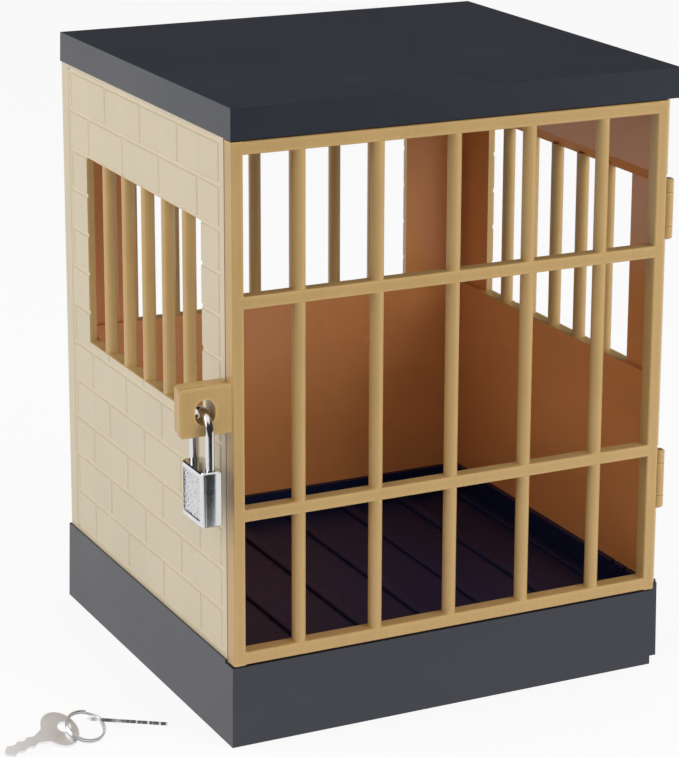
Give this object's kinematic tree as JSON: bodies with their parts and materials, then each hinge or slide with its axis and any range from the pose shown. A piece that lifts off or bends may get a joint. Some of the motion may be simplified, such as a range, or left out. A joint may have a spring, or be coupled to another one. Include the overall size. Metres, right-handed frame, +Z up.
{
  "type": "padlocked barred lock box",
  "caption": "Small lock box shaped like a cell: brick panels with barred windows, barred door on pinned hinges, hasp with padlock, and keys on a split ring.",
  "frame": {"origin": "middle of the plinth's resting face", "axes": "+Z up, -Y towards the barred door, +X towards the hinges, -X towards the padlock"},
  "size_m": [0.2206, 0.1447, 0.1995],
  "materials": {
    "tan_plastic": "injection moulded, satin sheen, golden tan",
    "black_plastic": "injection moulded, fine satin, near black",
    "polished_steel": "nickel plated, polished",
    "zinc_steel": "zinc plated",
    "brass": "turned, bare",
    "spring_steel": "drawn wire"
  },
  "bodies": {
    "cabinet": {"base_plinth": "black_plastic", "base_cover": "black_plastic", "base_screws": "zinc_steel", "left_panel": "tan_plastic", "right_panel": "tan_plastic", "back_panel": "tan_plastic", "roof": "black_plastic", "hinge_pin_lower": "polished_steel", "hinge_pin_upper": "polished_steel"},
    "door": {"door_grille": "tan_plastic"},
    "shackle": {"lock_shackle": "polished_steel"},
    "lock_case": {"lock_core": "zinc_steel", "lock_shell_outer": "polished_steel", "lock_shell_inner": "polished_steel", "lock_rivets": "polished_steel", "shackle_spring": "spring_steel"},
    "plug": {"lock_plug": "brass", "lock_wafers": "brass"},
    "bolt": {"lock_bolt": "zinc_steel"},
    "ring": {"key_ring": "polished_steel"},
    "key_a": {"key_leaning": "polished_steel"},
    "key_b": {"key_lying": "polished_steel"}
  },
  "joints": [
    {"name": "door_swing", "type": "hinge", "parent": "cabinet", "child": "door", "pos_m": [0.0756, -0.06639, 0.1], "axis": [0, 0, 1], "range_deg": [0, 180]},
    {"name": "padlock_swing", "type": "hinge", "parent": "cabinet", "child": "shackle", "pos_m": [-0.08515, -0.06565, 0.10792], "axis": [0, 1, 0], "range_deg": [-6, 75]},
    {"name": "case_drop", "type": "slide", "parent": "shackle", "child": "lock_case", "axis": [0, 0, -1], "range_m": [0, 0.0076], "deforming": ["shackle_spring"]},
    {"name": "plug_turn", "type": "hinge", "parent": "lock_case", "child": "plug", "pos_m": [-0.08515, -0.06565, 0.08], "axis": [0, 0, 1], "range_deg": [0, 90]},
    {"name": "bolt_slide", "type": "slide", "parent": "lock_case", "child": "bolt", "axis": [0, 1, 0], "range_m": [0, 0.00205]},
    {"name": "bunch_lift", "type": "slide", "parent": "cabinet", "child": "ring", "axis": [0, 0, 1], "range_m": [0, 0.03]},
    {"name": "leaning_key_turn", "type": "hinge", "parent": "ring", "child": "key_a", "pos_m": [-0.12123, -0.04215, 0.00517], "axis": [0, 0, 1], "range_deg": [0, 28]},
    {"name": "lying_key_turn", "type": "hinge", "parent": "ring", "child": "key_b", "pos_m": [-0.11026, -0.04091, 0.00423], "axis": [0, 0, 1], "range_deg": [0, 50]}
  ],
  "couplings": [
    {"joint": "plug_turn", "follows": "case_drop", "rad_per_m": 206.6},
    {"joint": "bolt_slide", "follows": "case_drop", "ratio": 0.2697}
  ]
}
